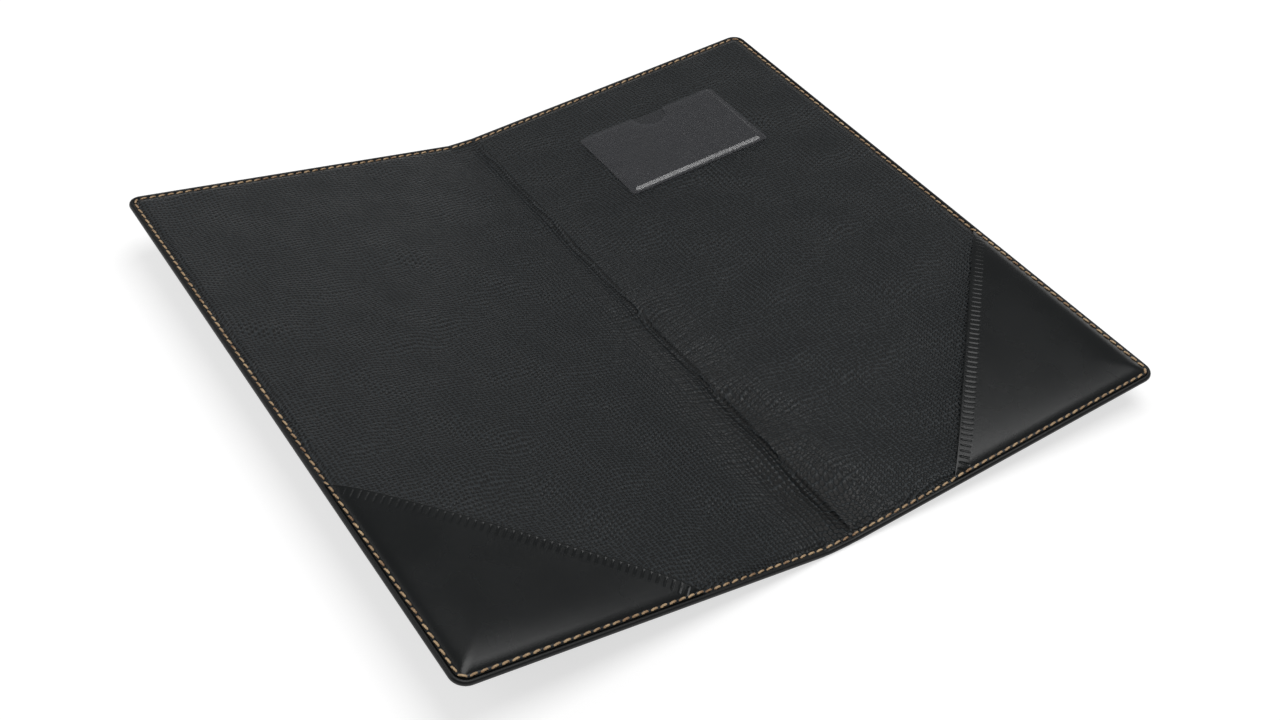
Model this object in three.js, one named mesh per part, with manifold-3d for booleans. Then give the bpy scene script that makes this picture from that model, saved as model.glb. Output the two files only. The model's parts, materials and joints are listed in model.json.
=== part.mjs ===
// A cheque presenter: two leatherette covers joined by a soft spine, lying open on that spine.
// Lengths are millimetres and angles degrees. X runs across the covers, Y up the page and Z up.
// Every layer is drawn flat, with the spine's back on z = 0, and each cover then turns up about
// the crease where it meets the spine.
import * as THREE from "three";
import { mergeVertices } from "three/addons/utils/BufferGeometryUtils.js";
import Module from "manifold-3d";

const wasm = await Module();
wasm.setup();

// Outline of the opened presenter, laid flat
const openWidth = 267;
const coverHeight = 243;
const cornerRadius = 5;

// How far each cover stands up from the surface while the presenter lies open
const rightRestAngle = 5;
const leftRestAngle = 9;

// Layers, from the outside in
const sheetThickness = 0.7;
const hemThickness = 0.4;
const boardThickness = 1.3;
const liningThickness = 0.5;
const glueLine = 0.12;

// Rolled edge of the outer sheet, and the hem that it is turned in by
const rimHeight = 1.9;
const rimRadius = 0.9;
const rimWidth = 1.3;
const rimSteps = 4;
const hemWidth = 5;

// Boards and the spine between them
const boardGap = 13.3;
const boardInset = 5.4;
const boardCornerRadius = 1.5;
const creaseInset = 1.6;
const creaseGap = 0.4;
const liningRamp = 1.2;
const spineRamp = 0.8;
const rampClearance = 0.1;

// Seam
const seamInset = 2.1;
const stitchPitch = 3.25;
const threadWidth = 0.85;
const threadHeight = 0.45;
const threadCrown = 0.6;
const pinchShare = 0.4;
const threadSeat = 0.1;
const creaseStitchGap = 0.7;
const bobbinHeight = 0.35;
const bobbinLift = 0.04;
const bobbinGrooveWidth = 1.25;
const bobbinGrooveDepth = 0.5;

// Corner pockets, with their legs measured along the cover's edges
const rightPocketAcross = 89;
const rightPocketUp = 92.5;
const leftPocketAcross = 84.5;
const leftPocketUp = 85.5;
const pocketThickness = 0.6;
const pocketMargin = 0.35;
const pocketSlit = 0.3;
const pocketBulge = 1.3;
const pocketRampStart = 3.6;
const pocketRampEnd = 5.2;
const pocketSteps = 9;

// Crimped band beside the mouth of each corner pocket
const crimpInset = 1.1;
const crimpLength = 3.2;
const crimpPitch = 2.3;
const crimpWidth = 0.9;
const crimpDepth = 0.25;
const crimpEndMargin = 8;

// Clear card pocket on the right cover
const filmPocketWidth = 62;
const filmPocketHeight = 39.5;
const filmPocketFromEdge = 32.8;
const filmPocketFromTop = 27.5;
const filmThickness = 0.25;
const filmSlit = 0.9;
const filmWeld = 1.4;
const filmRamp = 1.2;
const notchWidth = 14;
const notchDepth = 7.5;

// Heights and edges that follow from the sizes above
const halfWidth = openWidth / 2;
const halfHeight = coverHeight / 2;
const hemTop = sheetThickness + hemThickness;
const boardBottom = sheetThickness + glueLine;
const boardTop = boardBottom + boardThickness;
const boardInner = boardGap / 2;
const boardOuter = halfWidth - boardInset;
const boardHalfHeight = halfHeight - boardInset;
const hingeX = boardInner - creaseInset;
const liningOnSheet = sheetThickness + glueLine;
const liningOnHem = hemTop + glueLine;
const liningOnBoard = boardTop + glueLine;
const hingeZ = liningOnHem + liningThickness;
const liningInset = rimWidth + glueLine;
const pocketOnHem = hingeZ + glueLine;
const pocketRise = liningOnBoard + liningThickness + pocketSlit - pocketOnHem;
const rightPocket = { across: rightPocketAcross, up: rightPocketUp };
const leftPocket = { across: leftPocketAcross, up: leftPocketUp };

// Length by which a cutting tool runs clear of what it cuts, and the fineness of round stretches
const above = 20;
const curveSteps = 6;
const smallestRadius = 0.3;
const samePoint = 1e-3;

// Finishes, as the object shows them
const finish = (color, roughness, more = {}) => {
  return new THREE.MeshStandardMaterial({ color, roughness, metalness: 0, ...more });
};
const outerLeatherette = finish(0x1b1d1e, 0.5);
const liningLeatherette = finish(0x202326, 0.55);
const pocketLeatherette = finish(0x1d2021, 0.42);
const greyBoard = finish(0x8d8a82, 0.9);
const clearFilm = finish(0xdfe5e8, 0.12, { transparent: true, opacity: 0.35 });
const tanThread = finish(0xb98b56, 0.6);

// A closed geometry as a solid that can be joined and cut
function solidFrom(geometry) {
  const bare = geometry.clone();
  bare.deleteAttribute("normal");
  bare.deleteAttribute("uv");
  const merged = mergeVertices(bare, samePoint / 10);
  const vertProperties = new Float32Array(merged.attributes.position.array);
  const triVerts = new Uint32Array(merged.index.array);
  return new wasm.Manifold(new wasm.Mesh({ numProp: 3, vertProperties, triVerts }));
}

// A solid as a geometry with flat facets
function geometryFrom(solid) {
  const mesh = solid.getMesh();
  const positions = new Float32Array(mesh.numVert * 3);
  for (let i = 0; i < mesh.numVert; i++) {
    positions.set(mesh.vertProperties.subarray(i * mesh.numProp, i * mesh.numProp + 3), i * 3);
  }
  const geometry = new THREE.BufferGeometry();
  geometry.setAttribute("position", new THREE.BufferAttribute(positions, 3));
  geometry.setIndex(new THREE.BufferAttribute(new Uint32Array(mesh.triVerts), 1));
  const faceted = geometry.toNonIndexed();
  faceted.computeVertexNormals();
  return faceted;
}

// The same geometry on the other side of the spine, with its faces still pointing out
function mirrored(geometry) {
  const other = geometry.clone();
  other.scale(-1, 1, 1);
  const position = other.attributes.position;
  const first = new THREE.Vector3();
  const second = new THREE.Vector3();
  for (let i = 0; i < position.count; i += 3) {
    first.fromBufferAttribute(position, i);
    second.fromBufferAttribute(position, i + 1);
    position.setXYZ(i, second.x, second.y, second.z);
    position.setXYZ(i + 1, first.x, first.y, first.z);
  }
  other.computeVertexNormals();
  return other;
}

function boxBetween(x0, x1, y0, y1, z0, z1) {
  const box = new THREE.BoxGeometry(x1 - x0, y1 - y0, z1 - z0);
  return solidFrom(box.translate((x0 + x1) / 2, (y0 + y1) / 2, (z0 + z1) / 2));
}

// A value that runs straight between [place, value] points and stays level beyond them
function along(points, place) {
  if (place <= points[0][0]) return points[0][1];
  for (let i = 1; i < points.length; i++) {
    const [x0, y0] = points[i - 1];
    const [x1, y1] = points[i];
    if (place <= x1) return y0 + ((y1 - y0) * (place - x0)) / (x1 - x0);
  }
  return points[points.length - 1][1];
}

const mix = (a, b, share) => a + (b - a) * share;
const ascending = (values) => [...new Set(values)].sort((a, b) => a - b);

// A rectangle with round corners that lies the given distance inside the opened outline
function insetOutline(inset) {
  const x = halfWidth - inset;
  const y = halfHeight - inset;
  const r = Math.max(cornerRadius - inset, smallestRadius);
  const shape = new THREE.Shape();
  shape.moveTo(-x + r, -y);
  shape.lineTo(x - r, -y);
  shape.absarc(x - r, -y + r, r, -Math.PI / 2, 0);
  shape.lineTo(x, y - r);
  shape.absarc(x - r, y - r, r, 0, Math.PI / 2);
  shape.lineTo(-x + r, y);
  shape.absarc(-x + r, y - r, r, Math.PI / 2, Math.PI);
  shape.lineTo(-x, -y + r);
  shape.absarc(-x + r, -y + r, r, Math.PI, 1.5 * Math.PI);
  return shape;
}

function insetPrism(inset, z0, z1) {
  const settings = { depth: z1 - z0, bevelEnabled: false, curveSegments: curveSteps };
  return solidFrom(new THREE.ExtrudeGeometry(insetOutline(inset), settings).translate(0, 0, z0));
}

// A sheet over a grid: bottom and thickness are functions of x and y
function gridSolid(xs, ys, bottom, thickness) {
  const positions = [];
  for (const x of xs) {
    for (const y of ys) {
      const low = bottom(x, y);
      positions.push(x, y, low, x, y, low + thickness(x, y));
    }
  }
  const at = (i, j, layer) => 2 * (i * ys.length + j) + layer;
  const indices = [];
  const quad = (a, b, c, d) => indices.push(a, b, c, a, c, d);
  for (let i = 0; i + 1 < xs.length; i++) {
    for (let j = 0; j + 1 < ys.length; j++) {
      quad(at(i, j, 1), at(i + 1, j, 1), at(i + 1, j + 1, 1), at(i, j + 1, 1));
      quad(at(i, j, 0), at(i, j + 1, 0), at(i + 1, j + 1, 0), at(i + 1, j, 0));
    }
  }
  const lastI = xs.length - 1;
  const lastJ = ys.length - 1;
  for (let i = 0; i < lastI; i++) {
    quad(at(i, 0, 0), at(i + 1, 0, 0), at(i + 1, 0, 1), at(i, 0, 1));
    quad(at(i, lastJ, 0), at(i, lastJ, 1), at(i + 1, lastJ, 1), at(i + 1, lastJ, 0));
  }
  for (let j = 0; j < lastJ; j++) {
    quad(at(0, j, 0), at(0, j, 1), at(0, j + 1, 1), at(0, j + 1, 0));
    quad(at(lastI, j, 0), at(lastI, j + 1, 0), at(lastI, j + 1, 1), at(lastI, j, 1));
  }
  const geometry = new THREE.BufferGeometry();
  geometry.setAttribute("position", new THREE.Float32BufferAttribute(positions, 3));
  geometry.setIndex(indices);
  return solidFrom(geometry);
}

// The four corners of a strand's section, as shares of its width and height
const strandSection = [
  [-0.5, 0],
  [-threadCrown / 2, 1],
  [threadCrown / 2, 1],
  [0.5, 0],
];

// A strand along a path. Each ring is { x, y, z, width, height } and stands across the path.
function strandSolid(rings) {
  const positions = [];
  rings.forEach((ring, i) => {
    const before = rings[Math.max(i - 1, 0)];
    const after = rings[Math.min(i + 1, rings.length - 1)];
    const run = Math.hypot(after.x - before.x, after.y - before.y);
    const nx = (after.y - before.y) / run;
    const ny = -(after.x - before.x) / run;
    for (const [side, up] of strandSection) {
      const offset = side * ring.width;
      positions.push(ring.x + nx * offset, ring.y + ny * offset, ring.z + up * ring.height);
    }
  });
  const indices = [];
  const corners = strandSection.length;
  for (let i = 0; i + 1 < rings.length; i++) {
    for (let k = 0; k < corners; k++) {
      const a = corners * i + k;
      const b = corners * i + ((k + 1) % corners);
      indices.push(a, b, a + corners, b, b + corners, a + corners);
    }
  }
  const end = corners * (rings.length - 1);
  indices.push(0, 2, 1, 0, 3, 2, end, end + 1, end + 2, end, end + 2, end + 3);
  const geometry = new THREE.BufferGeometry();
  geometry.setAttribute("position", new THREE.Float32BufferAttribute(positions, 3));
  geometry.setIndex(indices);
  return solidFrom(geometry);
}

// The right cover's seam line, from the crease along the foot, up the edge and back along the head
function coverSeam() {
  const x = halfWidth - seamInset;
  const y = halfHeight - seamInset;
  const r = Math.max(cornerRadius - seamInset, smallestRadius);
  const start = hingeX + creaseStitchGap;
  const path = new THREE.CurvePath();
  const corner = (cx, cy, a0) => {
    const arc = new THREE.EllipseCurve(cx, cy, r, r, a0, a0 + Math.PI / 2, false, 0);
    path.add(arc);
  };
  path.add(new THREE.LineCurve(new THREE.Vector2(start, -y), new THREE.Vector2(x - r, -y)));
  corner(x - r, -y + r, -Math.PI / 2);
  path.add(new THREE.LineCurve(new THREE.Vector2(x, -y + r), new THREE.Vector2(x, y - r)));
  corner(x - r, y - r, 0);
  path.add(new THREE.LineCurve(new THREE.Vector2(x - r, y), new THREE.Vector2(start, y)));
  return path;
}

// The spine's seam line at the head (side 1) or the foot (side -1)
function spineSeam(side) {
  const reach = hingeX - creaseStitchGap;
  const y = side * (halfHeight - seamInset);
  const path = new THREE.CurvePath();
  path.add(new THREE.LineCurve(new THREE.Vector2(-reach, y), new THREE.Vector2(reach, y)));
  return path;
}

// Distances from the right cover's outer edge and from its foot
const fromEdge = (x) => halfWidth - x;
const fromFoot = (y) => y + halfHeight;

// Under 1 on the corner side of a pocket's mouth
const mouthShare = (pocket, x, y) => fromEdge(x) / pocket.across + fromFoot(y) / pocket.up;

// Needle thread: a raised stitch between each two pinches, lifted where it crosses a pocket's margin
function needleThread(path, pocket) {
  const length = path.getLength();
  const stitches = Math.max(Math.round(length / stitchPitch), 1);
  const rings = [];
  for (let i = 0; i <= 2 * stitches; i++) {
    const point = path.getPointAt(i / (2 * stitches));
    const share = i % 2 ? 1 : pinchShare;
    const onPocket = pocket && mouthShare(pocket, point.x + stitchPitch, point.y - stitchPitch) < 1;
    const seat = onPocket ? pocketOnHem + pocketMargin : hingeZ;
    const width = threadWidth * share;
    rings.push({ x: point.x, y: point.y, z: seat + threadSeat, width, height: threadHeight * share });
  }
  return strandSolid(rings);
}

// Rings of one size along a seam line, close together only round its corners
function evenRings(path, z, width, height) {
  const rings = [];
  for (const curve of path.curves) {
    const steps = curve.isEllipseCurve ? curveSteps : 1;
    for (let i = 0; i <= steps; i++) {
      const point = curve.getPoint(i / steps);
      const last = rings[rings.length - 1];
      if (last && Math.hypot(last.x - point.x, last.y - point.y) < samePoint) continue;
      rings.push({ x: point.x, y: point.y, z, width, height });
    }
  }
  return rings;
}

const bobbinThread = (path) => strandSolid(evenRings(path, bobbinLift, threadWidth, bobbinHeight));

function bobbinGroove(path) {
  const depth = bobbinGrooveDepth;
  return strandSolid(evenRings(path, -depth, bobbinGrooveWidth / threadCrown, 2 * depth));
}

// The outer sheet: rolled edge, hem turned in round it, and a tray for the boards and the spine
function openedSheet() {
  const settings = {
    depth: rimHeight - 2 * rimRadius,
    bevelEnabled: true,
    bevelThickness: rimRadius,
    bevelSize: rimRadius,
    bevelOffset: -rimRadius,
    bevelSegments: rimSteps,
    curveSegments: curveSteps,
  };
  const slab = new THREE.ExtrudeGeometry(insetOutline(0), settings).translate(0, 0, rimRadius);
  const tray = boxBetween(
    hemWidth - halfWidth,
    halfWidth - hemWidth,
    hemWidth - halfHeight,
    halfHeight - hemWidth,
    sheetThickness,
    above,
  );
  return solidFrom(slab).subtract(insetPrism(rimWidth, hemTop, above)).subtract(tray);
}

const sheet = openedSheet();
const creaseNear = hingeX - creaseGap / 2;
const creaseFar = hingeX + creaseGap / 2;

function outerCover() {
  const side = boxBetween(creaseFar, halfWidth + above, -coverHeight, coverHeight, -above, above);
  return sheet.intersect(side).subtract(bobbinGroove(coverSeam()));
}

function outerSpine() {
  const middle = boxBetween(-creaseNear, creaseNear, -coverHeight, coverHeight, -above, above);
  return sheet.intersect(middle).subtract(bobbinGroove(spineSeam(1))).subtract(bobbinGroove(spineSeam(-1)));
}

function board() {
  const r = boardCornerRadius;
  const shape = new THREE.Shape();
  shape.moveTo(boardInner, -boardHalfHeight);
  shape.lineTo(boardOuter - r, -boardHalfHeight);
  shape.absarc(boardOuter - r, -boardHalfHeight + r, r, -Math.PI / 2, 0);
  shape.lineTo(boardOuter, boardHalfHeight - r);
  shape.absarc(boardOuter - r, boardHalfHeight - r, r, 0, Math.PI / 2);
  shape.lineTo(boardInner, boardHalfHeight);
  shape.closePath();
  const settings = { depth: boardThickness, bevelEnabled: false, curveSegments: curveSteps };
  return solidFrom(new THREE.ExtrudeGeometry(shape, settings).translate(0, 0, boardBottom));
}

// Where the lining's back lies: on the sheet in the spine, on the hem round the edge, on the board
const hemInnerUp = halfHeight - hemWidth;
const spineToHem = [
  [hemInnerUp - rampClearance - spineRamp, liningOnSheet],
  [hemInnerUp - rampClearance, liningOnHem],
];
const boardToHemUp = [
  [boardHalfHeight + rampClearance, liningOnBoard],
  [boardHalfHeight + rampClearance + liningRamp, liningOnHem],
];
const creaseToBoard = [
  [creaseFar + rampClearance, 0],
  [boardInner - rampClearance, 1],
];
const boardToHemAcross = [
  [boardOuter + rampClearance, 0],
  [boardOuter + rampClearance + liningRamp, 1],
];

function liningBack(x, y) {
  const spine = along(spineToHem, Math.abs(y));
  const field = along(boardToHemUp, Math.abs(y));
  const nearBoard = mix(spine, field, along(creaseToBoard, x));
  return mix(nearBoard, liningOnHem, along(boardToHemAcross, x));
}

const liningUps = [...spineToHem, ...boardToHemUp].map((point) => point[0]);
const liningYs = ascending([-halfHeight, halfHeight, ...liningUps, ...liningUps.map((y) => -y)]);

function coverLining() {
  const breaks = [...creaseToBoard, ...boardToHemAcross].map((point) => point[0]);
  const xs = ascending([creaseFar, halfWidth, ...breaks]);
  const full = gridSolid(xs, liningYs, liningBack, () => liningThickness);
  return full.intersect(insetPrism(liningInset, -above, above));
}

function spineLining() {
  const back = (x, y) => along(spineToHem, Math.abs(y));
  const full = gridSolid([-creaseNear, creaseNear], liningYs, back, () => liningThickness);
  return full.intersect(insetPrism(liningInset, -above, above));
}

// How far the corner pocket has climbed from its sewn margin onto the board
function pocketClimb(x, y) {
  const ramp = [
    [pocketRampStart, 0],
    [pocketRampEnd, 1],
  ];
  return along(ramp, fromEdge(x)) * along(ramp, fromFoot(y));
}

// The pocket's back: down on the margin, a slit clear of the lining, fullest at mid-mouth
function pocketBack(pocket, x, y) {
  const across = Math.max(fromEdge(x) - pocketRampEnd, 0) / (pocket.across - pocketRampEnd);
  const up = Math.max(fromFoot(y) - pocketRampEnd, 0) / (pocket.up - pocketRampEnd);
  const fullness = 4 * across * up * (across + up);
  return pocketOnHem + pocketRise * pocketClimb(x, y) + pocketBulge * fullness;
}

const pocketDepth = (x, y) => mix(pocketMargin, pocketThickness, pocketClimb(x, y));

// Distances along one leg of a pocket at which its sheet bends
function pocketBends(leg) {
  const step = (leg - pocketRampEnd) / pocketSteps;
  const inner = Array.from({ length: pocketSteps }, (_, i) => pocketRampEnd + step * (i + 1));
  return [0, pocketRampStart, pocketRampEnd, ...inner];
}

function cornerPocket(pocket) {
  const xs = ascending(pocketBends(pocket.across).map((u) => halfWidth - u));
  const ys = ascending(pocketBends(pocket.up).map((v) => v - halfHeight));
  const mouth = new THREE.Shape();
  mouth.moveTo(halfWidth, -halfHeight);
  mouth.lineTo(halfWidth, pocket.up - halfHeight);
  mouth.lineTo(halfWidth - pocket.across, -halfHeight);
  mouth.closePath();
  const corner = new THREE.ExtrudeGeometry(mouth, { depth: above, bevelEnabled: false });
  const full = gridSolid(xs, ys, (x, y) => pocketBack(pocket, x, y), pocketDepth);
  const trimmed = full.intersect(solidFrom(corner)).intersect(insetPrism(liningInset, -above, above));
  return crimpTools(pocket).reduce((sheet, tool) => sheet.subtract(tool), trimmed);
}

// Small bars laid across the crimped band, each sunk into the pocket's face by the crimp's depth
function crimpTools(pocket) {
  const head = new THREE.Vector2(halfWidth, pocket.up - halfHeight);
  const foot = new THREE.Vector2(halfWidth - pocket.across, -halfHeight);
  const length = head.distanceTo(foot);
  const run = foot.clone().sub(head).normalize();
  const inward = new THREE.Vector2(-run.y, run.x);
  const count = Math.floor((length - 2 * crimpEndMargin) / crimpPitch);
  const first = (length - count * crimpPitch) / 2;
  const tools = [];
  for (let i = 0; i <= count; i++) {
    const middle = head.clone().addScaledVector(run, first + i * crimpPitch);
    middle.addScaledVector(inward, crimpInset + crimpLength / 2);
    const face = pocketBack(pocket, middle.x, middle.y) + pocketDepth(middle.x, middle.y);
    const bar = new THREE.BoxGeometry(crimpWidth, crimpLength, 2 * crimpDepth);
    bar.rotateZ(Math.atan2(run.y, run.x)).translate(middle.x, middle.y, face);
    tools.push(solidFrom(bar));
  }
  return tools;
}

// The card pocket: two clear films welded at the foot and sides, open at the head, with a thumb notch
function filmPocket() {
  const x1 = halfWidth - filmPocketFromEdge;
  const x0 = x1 - filmPocketWidth;
  const y1 = halfHeight - filmPocketFromTop;
  const y0 = y1 - filmPocketHeight;
  const back = liningOnBoard + liningThickness + glueLine;
  const climb = [
    [filmWeld, 0],
    [filmWeld + filmRamp, 1],
  ];
  const open = (x, y) => along(climb, x - x0) * along(climb, x1 - x) * along(climb, y - y0);
  const xs = [x0, ...climb.map((p) => x0 + p[0]), ...climb.map((p) => x1 - p[0]), x1];
  const ys = [y0, ...climb.map((p) => y0 + p[0]), y1];
  const flat = () => back;
  const outside = gridSolid(ascending(xs), ys, flat, (x, y) => 2 * filmThickness + filmSlit * open(x, y));
  const shut = filmWeld + filmRamp;
  const face = back + filmThickness;
  const slit = boxBetween(x0 + shut, x1 - shut, y0 + shut, y1 + above, face, face + filmSlit);
  const notchShape = new THREE.Shape();
  notchShape.absellipse((x0 + x1) / 2, y1, notchWidth / 2, notchDepth, 0, 2 * Math.PI);
  const notchSettings = { depth: above, bevelEnabled: false, curveSegments: 2 * curveSteps };
  const notch = new THREE.ExtrudeGeometry(notchShape, notchSettings);
  notch.translate(0, 0, face + filmSlit / 2);
  return outside.subtract(slit).subtract(solidFrom(notch));
}

function named(name, geometry, material) {
  const mesh = new THREE.Mesh(geometry, material);
  mesh.name = name;
  return mesh;
}

// The pieces of one cover, drawn flat as a right cover and mirrored for the left one
function coverPieces(side, pocket, turn) {
  const seam = coverSeam();
  const pieces = [
    ["outer_cover", outerCover(), outerLeatherette],
    ["board", board(), greyBoard],
    ["lining", coverLining(), liningLeatherette],
    ["corner_pocket", cornerPocket(pocket), pocketLeatherette],
    ["needle_thread", needleThread(seam, pocket), tanThread],
    ["bobbin_thread", bobbinThread(seam), tanThread],
  ];
  return pieces.map(([name, solid, material]) => {
    const geometry = turn(geometryFrom(solid));
    return named(`${name}_${side}`, geometry, material);
  });
}

// A cover's group: it hangs on its crease line and is turned up to its rest angle
function coverGroup(direction, restAngle, pieces) {
  const group = new THREE.Group();
  group.position.set(direction * hingeX, 0, hingeZ);
  group.rotation.y = -direction * THREE.MathUtils.degToRad(restAngle);
  for (const piece of pieces) {
    piece.position.set(-direction * hingeX, 0, -hingeZ);
    group.add(piece);
  }
  return group;
}

const presenter = new THREE.Group();
presenter.name = "cheque_presenter";
presenter.add(
  named("outer_cover_spine", geometryFrom(outerSpine()), outerLeatherette),
  named("lining_spine", geometryFrom(spineLining()), liningLeatherette),
  named("needle_thread_spine_top", geometryFrom(needleThread(spineSeam(1))), tanThread),
  named("needle_thread_spine_bottom", geometryFrom(needleThread(spineSeam(-1))), tanThread),
  named("bobbin_thread_spine_top", geometryFrom(bobbinThread(spineSeam(1))), tanThread),
  named("bobbin_thread_spine_bottom", geometryFrom(bobbinThread(spineSeam(-1))), tanThread),
);

const rightPieces = coverPieces("right", rightPocket, (geometry) => geometry);
rightPieces.push(named("card_pocket", geometryFrom(filmPocket()), clearFilm));
presenter.add(coverGroup(1, rightRestAngle, rightPieces));
presenter.add(coverGroup(-1, leftRestAngle, coverPieces("left", leftPocket, mirrored)));

export default presenter;
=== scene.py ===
"""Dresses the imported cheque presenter: leatherette sheets, sewn pockets, clear film, thread and a stage."""

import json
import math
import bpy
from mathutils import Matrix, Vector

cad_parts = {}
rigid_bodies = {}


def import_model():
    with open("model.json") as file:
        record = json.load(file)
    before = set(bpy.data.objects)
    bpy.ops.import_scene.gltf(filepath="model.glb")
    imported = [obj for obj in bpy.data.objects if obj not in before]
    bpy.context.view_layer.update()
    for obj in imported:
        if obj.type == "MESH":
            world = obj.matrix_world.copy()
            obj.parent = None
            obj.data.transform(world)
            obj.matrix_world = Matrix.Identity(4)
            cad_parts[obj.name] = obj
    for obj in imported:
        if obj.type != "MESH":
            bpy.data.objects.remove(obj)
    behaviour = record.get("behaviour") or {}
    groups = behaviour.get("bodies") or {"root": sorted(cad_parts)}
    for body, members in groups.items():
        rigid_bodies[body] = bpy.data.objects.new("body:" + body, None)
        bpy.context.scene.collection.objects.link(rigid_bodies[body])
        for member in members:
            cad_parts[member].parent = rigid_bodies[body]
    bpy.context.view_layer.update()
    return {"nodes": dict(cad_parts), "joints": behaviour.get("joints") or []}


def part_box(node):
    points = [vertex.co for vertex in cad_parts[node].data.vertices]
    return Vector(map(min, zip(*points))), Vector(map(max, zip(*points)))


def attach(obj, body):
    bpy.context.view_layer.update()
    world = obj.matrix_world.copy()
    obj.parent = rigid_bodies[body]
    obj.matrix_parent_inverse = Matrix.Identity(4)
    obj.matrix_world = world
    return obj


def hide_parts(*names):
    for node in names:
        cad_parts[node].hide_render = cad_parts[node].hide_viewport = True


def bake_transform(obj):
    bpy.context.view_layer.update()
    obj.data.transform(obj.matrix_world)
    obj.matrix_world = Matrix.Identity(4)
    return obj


bl_info = {
    "name": "Cheque Presenter",
    "version": (1, 0, 0),
    "blender": (4, 5, 0),
    "location": "3D View > Sidebar > Presenter",
    "description": "Builds an open leatherette cheque presenter round its packed frame",
    "category": "Add Mesh",
}

import bpy
import numpy as np
from bpy.props import FloatProperty, FloatVectorProperty, IntProperty, PointerProperty
from mathutils import Matrix, Vector
from mathutils.geometry import delaunay_2d_cdt

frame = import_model()

MM = 0.001
PHOTO_WIDTH = 1280
SENSOR = 36.0
SHARP_ANGLE = math.radians(50)


# Sizes that come from the frame


class Cover:
    """One cover: its side of the spine, its bodies and the hinge line that it turns on."""

    def __init__(self, word, side):
        hinge = next(j for j in frame["joints"] if j["child"] == f"{word}_cover")
        self.word = word
        self.side = side
        self.body = hinge["child"]
        self.spine = hinge["parent"]
        self.hinge_x = abs(hinge["pos_m"][0])
        self.hinge_z = hinge["pos_m"][2]
        self.rest_angle = math.radians(-hinge["range_deg"][0])

    def lifted(self, points, share=1.0):
        """Flat points, with x out from the spine's middle, turned up by a share of the rest angle."""
        angle = self.rest_angle * np.asarray(share)
        dx = points[:, 0] - self.hinge_x
        dz = points[:, 2] - self.hinge_z
        x = self.hinge_x + dx * np.cos(angle) - dz * np.sin(angle)
        z = self.hinge_z + dx * np.sin(angle) + dz * np.cos(angle)
        return np.column_stack([self.side * x, points[:, 1], z])

    def flat_box(self, node):
        """Lowest and highest corner of one of the cover's CAD nodes, turned back down to the flat sheet."""
        points = np.array([v.co for v in frame["nodes"][node].data.vertices])
        dx = self.side * points[:, 0] - self.hinge_x
        dz = points[:, 2] - self.hinge_z
        cos, sin = math.cos(self.rest_angle), math.sin(self.rest_angle)
        x = self.hinge_x + dx * cos + dz * sin
        z = self.hinge_z + dz * cos - dx * sin
        flat = np.column_stack([x, points[:, 1], z])
        return flat.min(0), flat.max(0)


COVERS = [Cover("right", 1), Cover("left", -1)]
RIGHT = COVERS[0]
SHEET_HIGH = RIGHT.flat_box("outer_cover_right")[1]
HALF_WIDTH, HALF_HEIGHT, RIM_TOP = SHEET_HIGH
LINING_HIGH = RIGHT.flat_box("lining_right")[1]
LINING_INSET = HALF_WIDTH - LINING_HIGH[0]
BOARD_FACE = LINING_HIGH[2]
HEM_FACE = RIGHT.hinge_z
SPINE_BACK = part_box("lining_spine")[0].z
BOARD_LOW, BOARD_HIGH = RIGHT.flat_box("board_right")
FILM_LOW, FILM_HIGH = RIGHT.flat_box("card_pocket")


# Sizes and colours that a user may change


def length(name, description, millimetres):
    default = millimetres * MM
    return FloatProperty(name=name, description=description, default=default, unit="LENGTH", precision=5)


def to_linear(code):
    """An sRGB hex colour as linear red, green and blue."""
    channels = [int(code[i : i + 2], 16) / 255 for i in (1, 3, 5)]
    return [c / 12.92 if c <= 0.04045 else ((c + 0.055) / 1.055) ** 2.4 for c in channels]


def colour(name, description, code):
    return FloatVectorProperty(
        name=name, description=description, default=to_linear(code), size=3, min=0, max=1, subtype="COLOR"
    )


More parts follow.
